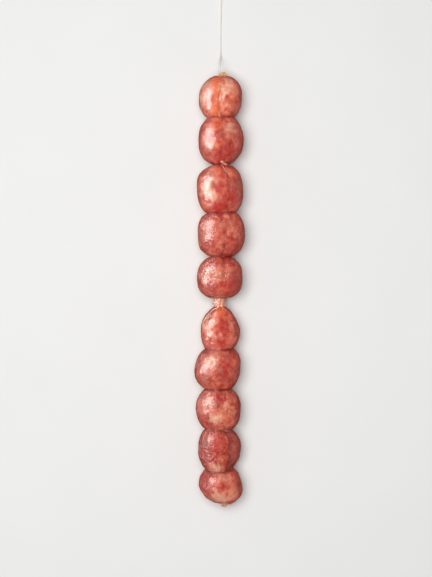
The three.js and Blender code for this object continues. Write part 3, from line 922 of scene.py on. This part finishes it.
def makeNubs():
    angle, steps = evenAngles(nubShape["around"]), nubShape["steps"]
    rings, faces = [], []
    for facts in nubs:
        start, end = np.array(facts["start"]), np.array(facts["end"])
        side, up = acrossAxis(sized(end - start), (0.3, 0.1, 1.0))
        faces += tubeFaces(steps, len(angle), len(rings) * len(angle))
        for step in range(steps):
            share = step / (steps - 1)
            swell = math.sin(math.pi * (0.12 + 0.82 * share)) ** 0.7
            taper = 1 - facts["sharp"] * 0.75 * share
            furrow = np.cos(nubShape["furrows"] * angle + nubShape["wind"] * share)
            r = facts["wide"] * swell * taper * (1 + nubShape["furrowDeep"] * furrow)
            r = np.maximum(r, nubShape["leastRadius"])
            rings.append(ringOf(start + (end - start) * share, side, up, angle, r))
    obj = meshFrom("neckTwists", np.vstack(rings), faces)
    evenMarks(obj, {"edge": 1.0, "twist": 0.6})
    return addPiece(obj)


def newMaterial(name):
    mat = bpy.data.materials.new(name)
    mat.use_nodes = True
    board = Board(mat.node_tree)
    board.nodes.clear()
    skin = board.add("ShaderNodeBsdfPrincipled", {})
    board.add("ShaderNodeOutputMaterial", {"Surface": skin.outputs["BSDF"]})
    return mat, board, skin


class Board:
    # short ways to add and wire shader nodes
    def __init__(self, tree):
        self.nodes = tree.nodes
        self.wires = tree.links

    def plug(self, value, socket):
        if isinstance(value, bpy.types.NodeSocket):
            self.wires.new(value, socket)
        else:
            socket.default_value = value

    def add(self, kind, inputs, **settings):
        node = self.nodes.new(kind)
        for name, setting in settings.items():
            setattr(node, name, setting)
        for socket, value in inputs.items():
            self.plug(value, node.inputs[socket])
        return node

    def maths(self, kind, a, b):
        return self.add("ShaderNodeMath", {0: a, 1: b}, operation=kind).outputs[0]

    def times(self, a, b):
        return self.maths("MULTIPLY", a, b)

    def plus(self, a, b):
        return self.maths("ADD", a, b)

    def mix(self, share, a, b):
        return self.add("ShaderNodeMix", {0: share, 6: a, 7: b}, data_type="RGBA").outputs[2]

    def where(self):
        return self.add("ShaderNodeTexCoord", {}).outputs["Object"]

    def mark(self, name):
        return self.add("ShaderNodeAttribute", {}, attribute_name=name).outputs["Fac"]

    def noise(self, place, size, detail=2.0, rough=0.5, bend=0.0, out="Fac"):
        inputs = {"Vector": place, "Scale": 1 / (size * mm), "Detail": detail, "Roughness": rough,
                  "Distortion": bend}
        return self.add("ShaderNodeTexNoise", inputs).outputs[out]

    def cells(self, place, size, feature="F1"):
        inputs = {"Vector": place, "Scale": 1 / (size * mm)}
        return self.add("ShaderNodeTexVoronoi", inputs, feature=feature)

    def oneShade(self, cells):
        # a value of its own for each cell
        return self.add("ShaderNodeSeparateColor", {0: cells.outputs["Color"]}).outputs[0]

    def range(self, value, low, high, toLow=0.0, toHigh=1.0):
        ends = {"Value": value, "From Min": low, "From Max": high, "To Min": toLow, "To Max": toHigh}
        return self.add("ShaderNodeMapRange", ends, interpolation_type="SMOOTHSTEP").outputs["Result"]

    def ramp(self, value, stops):
        node = self.nodes.new("ShaderNodeValToRGB")
        node.color_ramp.interpolation = "B_SPLINE"
        items = node.color_ramp.elements
        while len(items) < len(stops):
            items.new(0.5)
        for item, (at, tint) in zip(items, stops):
            item.position = at
            item.color = colourOf(tint)
        self.plug(value, node.inputs["Fac"])
        return node.outputs["Color"]

    def bumpOn(self, height, amount, below=None):
        inputs = {"Height": height, "Strength": amount[0], "Distance": amount[1] * mm}
        if below is not None:
            inputs["Normal"] = below
        return self.add("ShaderNodeBump", inputs).outputs["Normal"]


meat = {
    "grain": 5.2,  # mm, the coarse mince
    "fineGrain": 2.2,
    "stirred": (0.0036, 0.0036, 0.0036),  # metres, how far grains are pushed out of shape
    "broad": 9.0,
    "smear": 4.0,
    # how much of the colour each of them decides
    "shares": {"coarse": 0.16, "fine": 0.05, "broad": 0.34, "smear": 0.36, "tone": 0.16},
    "stops": [(0.10, "#8f271c"), (0.35, "#bc4333"), (0.5, "#cf5743"), (0.65, "#da6c54"),
              (0.80, "#e4866c"), (0.95, "#efa98f")],
    # patches: colour, most of it that shows, how torn its edge is
    # the rose colour also paints shade, and the cream colour partly paints highlight
    "patches": {"roseAndShade": ("#a2443e", 0.75, 0.25), "orange": ("#ec7038", 0.7, 0.3),
                "fat": ("#f1ac90", 0.8, 0.3), "creamAndHighlight": ("#f5c7a4", 0.8, 0.3),
                "lean": ("#b62b24", 0.85, 0.35)},
    "fleck": "#7a2015",
    "fleckSize": 1.4,
    "crackleSize": 2.5,
    "crackWidth": 0.14,
    "crackShade": 0.4,
    "creaseShadeTint": "#6e1c12",
    "creaseShadeMost": 0.8,
    "veil": "#e0b0a4",
    "veilMost": 0.16,
    "twistTint": "#dfa186",
    "tuftTint": "#efc184",
    "foldTint": "#f7e0d0",
    "dryMost": 0.82,
    "roughness": (0.42, 0.55),
    # bumps: strength, height in mm
    "lumps": (0.25, 0.30),
    "wrinkles": (0.85, 0.34),
    "pores": (0.3, 0.06),
    "poreSize": 0.7,
    "finish": {"Subsurface Weight": 0.3, "Subsurface Radius": (1.0, 0.32, 0.2),
               "Subsurface Scale": 0.0026, "IOR": 1.45,
               "Coat Weight": 1.0, "Coat Roughness": 0.19, "Coat IOR": 1.6},
}


def mincedMeatInCasing():
    mat, b, skin = newMaterial("mincedMeatInCasing")
    where = b.where()

    # bend the space a little, so grains of meat aren't straight-edged
    stir = b.noise(where, 5.0, out="Color")
    shift = {0: stir, 1: meat["stirred"], 2: where}
    bent = b.add("ShaderNodeVectorMath", shift, operation="MULTIPLY_ADD").outputs[0]

    # the mince: coarse and fine grains, smeared
    coarse = b.cells(bent, meat["grain"])
    smear = b.noise(bent, meat["smear"], 2.0, 0.55, 0.5)
    parts = {
        "coarse": b.oneShade(coarse),
        "fine": b.oneShade(b.cells(bent, meat["fineGrain"])),
        "broad": b.range(b.noise(where, meat["broad"], 2.5, 0.55), 0.3, 0.7),
        "smear": b.range(smear, 0.25, 0.75),
        "tone": b.mark("tone"),
    }
    value = 0.0
    for name, part in parts.items():
        value = b.plus(b.times(part, meat["shares"][name]), value)
    colour = b.ramp(value, meat["stops"])

    # patches, with edges torn by the same smear; the rose ones are mostly painted shade and the cream
    # ones partly painted highlight
    for kind, (tint, most, torn) in meat["patches"].items():
        share = b.times(b.mark(kind), b.range(smear, 0.2, 0.8, 1 - torn, 1 + torn))
        colour = b.mix(b.range(share, 0.0, 1.3, 0.0, most), colour, colourOf(tint))

    # dark flecks, and the cracks of dried casing, with painted shade darkening the crack lines
    spots = b.range(b.noise(bent, meat["fleckSize"], 1.5), 0.63, 0.71)
    fleckShare = b.times(spots, b.plus(b.times(b.mark("crackle"), 0.5), 0.15))
    colour = b.mix(fleckShare, colour, colourOf(meat["fleck"]))
    crackle = b.cells(bent, meat["crackleSize"], "DISTANCE_TO_EDGE").outputs["Distance"]
    crackleHeight = b.range(crackle, 0.0, meat["crackWidth"])
    here = b.times(b.range(b.noise(where, 7.0, 1.0), 0.35, 0.6, 0.3, 1.0), b.mark("crackle"))
    crackShadeShare = b.times(b.maths("SUBTRACT", 1.0, crackleHeight), b.times(here, meat["crackShade"]))
    colour = b.mix(crackShadeShare, colour, colourOf(meat["fleck"]))

    # painted shade in the creases and seams, a pale veil of casing, and dry casing at the twists
    creaseShadeShare = b.maths("MINIMUM", b.mark("crease"), meat["creaseShadeMost"])
    colour = b.mix(creaseShadeShare, colour, colourOf(meat["creaseShadeTint"]))
    veilShare = b.range(b.noise(where, 3.4), 0.35, 0.75, 0.0, meat["veilMost"])
    colour = b.mix(veilShare, colour, colourOf(meat["veil"]))
    dryTint = b.mix(b.mark("gold"), colourOf(meat["twistTint"]), colourOf(meat["tuftTint"]))
    dryTint = b.mix(b.mark("pale"), dryTint, colourOf(meat["foldTint"]))
    colour = b.mix(b.range(b.mark("twist"), 0.15, 0.95, 0.0, meat["dryMost"]), colour, dryTint)
    b.plug(colour, skin.inputs["Base Color"])
    b.plug(b.range(b.noise(where, 2.2, 3.0, 0.6), 0.3, 0.7, *meat["roughness"]), skin.inputs["Roughness"])

    # relief: soft lumps of mince, crackled wrinkles in places, fine pores
    lumpy = b.bumpOn(b.times(coarse.outputs["Distance"], -1.0), meat["lumps"])
    wrinkled = b.times(b.noise(bent, 1.3, 2.5, 0.6, 0.8), b.plus(b.times(here, -0.1), 0.4))
    height = b.plus(b.times(crackleHeight, b.times(here, 0.7)), wrinkled)
    height = b.maths("SUBTRACT", height, b.times(spots, b.times(here, 0.9)))
    wrinkles = b.bumpOn(height, meat["wrinkles"], lumpy)
    surface = b.bumpOn(b.noise(where, meat["poreSize"], 1.5), meat["pores"], wrinkles)
    b.plug(surface, skin.inputs["Normal"])
    b.plug(surface, skin.inputs["Coat Normal"])
    for name, amount in meat["finish"].items():
        skin.inputs[name].default_value = amount
    return mat


cotton = {
    "clean": ("#f0eeea", "#cfcbc2"),  # light and dark fibres
    "soaked": ("#dfba86", "#b98f57"),
    "fibre": 0.22,
    "roughness": (0.95, 0.8),
    "fuzz": (0.6, 0.08),
    "sheen": 0.25,
}


def cottonThread(name, light, dark):
    mat, b, skin = newMaterial(name)
    fibres = b.noise(b.where(), cotton["fibre"], 3.0, 0.7, 1.2)
    colour = b.mix(b.range(fibres, 0.35, 0.7), colourOf(dark), colourOf(light))
    b.plug(colour, skin.inputs["Base Color"])
    b.plug(b.range(fibres, 0.3, 0.7, *cotton["roughness"]), skin.inputs["Roughness"])
    b.plug(b.bumpOn(fibres, cotton["fuzz"]), skin.inputs["Normal"])
    skin.inputs["Sheen Weight"].default_value = cotton["sheen"]
    return mat


studio = {
    "floorSize": 3000,
    "floor": ("#dcdcda", "#e0e0de"),  # two shades, mottled
    "mottle": 60.0,
    "ambient": (0.20, 0.20, 0.20, 1.0),  # light from all sides
    "around": (0.24, 0.06, 0.042, 1.0),  # what the casing mirrors: more meat hung beside it
}
lights = {
    # low beside the string, shows only in the gloss
    "window": {"at": (-0.62, 0.20, 0.27), "aim": (0.0, 0.04, 0.02), "across": 0.85, "high": 0.50,
               "power": 11.2, "colour": (1.0, 0.97, 0.93), "gloss": True, "body": False},
    # overhead, shows only in the body colour
    "softbox": {"at": (-0.20, 0.10, 1.40), "aim": (0.0, 0.0, 0.0), "across": 0.9, "high": 0.9,
                "power": 22.2, "colour": (1.0, 1.0, 1.0), "gloss": False, "body": True},
}


def paleFloor():
    mat, b, skin = newMaterial("paleFloor")
    dark, light = (colourOf(tint) for tint in studio["floor"])
    b.plug(b.mix(b.noise(b.where(), studio["mottle"]), dark, light), skin.inputs["Base Color"])
    skin.inputs["Roughness"].default_value = 0.95
    skin.inputs["Specular IOR Level"].default_value = 0.1
    return mat


def makeStudio():
    size = studio["floorSize"]
    corners = [(-size, -size, 0), (size, -size, 0), (size, size, 0), (-size, size, 0)]
    floor = meshFrom("floor", corners, [(0, 1, 2, 3)], smooth=False)
    floor.data.materials.append(paleFloor())
    floor.visible_glossy = False  # keeps the pale floor's sheen out of the wet casing
    for name, facts in lights.items():
        data = bpy.data.lights.new(name, "AREA")
        data.shape = "RECTANGLE"
        data.size = facts["across"]
        data.size_y = facts["high"]
        data.energy = facts["power"]
        data.color = facts["colour"]
        lamp = place(bpy.data.objects.new(name, data))
        lamp.location = facts["at"]
        towards = Vector(facts["aim"]) - Vector(facts["at"])
        lamp.rotation_euler = towards.to_track_quat("-Z", "Y").to_euler()
        lamp.visible_glossy = facts["gloss"]
        lamp.visible_diffuse = facts["body"]
    world = bpy.data.worlds.new("studioAir")
    bpy.context.scene.world = world
    world.use_nodes = True
    b = Board(world.node_tree)
    glossy = b.add("ShaderNodeLightPath", {}).outputs["Is Glossy Ray"]
    tint = b.mix(glossy, studio["ambient"], studio["around"])
    b.plug(tint, b.nodes["Background"].inputs["Color"])
    bpy.context.scene.view_settings.view_transform = "Standard"


makeCamera()
print("camera ready")

hangingThread, threadPath, threadLength = makeThread("hangingThread", threadRoute, "hanging_thread")
hangingLoop = makeThread("hangingLoop", loopRoute, "hanging_loop")[0]
loopKnot = makeKnot("loopKnot")
threadTie = makeTie()
tieKnot = makeKnot("tieKnot")
print("thread laid,", round(threadLength, 1), "mm")

sausageLinks, spareFoldObj = makeLinks()
print("links shaped,", len(sausageLinks.data.polygons), "faces")
ruffleObjs = [makeRuffle(name, facts) for name, facts in ruffles.items()]
neckTwists = makeNubs()
print("ends gathered")

meatSkin = mincedMeatInCasing()
for obj in (sausageLinks, neckTwists, spareFoldObj, *ruffleObjs):
    obj.data.materials.append(meatSkin)
cleanCotton = cottonThread("cleanCotton", *cotton["clean"])
soakedCotton = cottonThread("soakedCotton", *cotton["soaked"])
for obj in (hangingThread, hangingLoop, loopKnot):
    obj.data.materials.append(cleanCotton)
for obj in (threadTie, tieKnot):
    obj.data.materials.append(soakedCotton)
print("finishes on")

makeStudio()
print("studio lit")
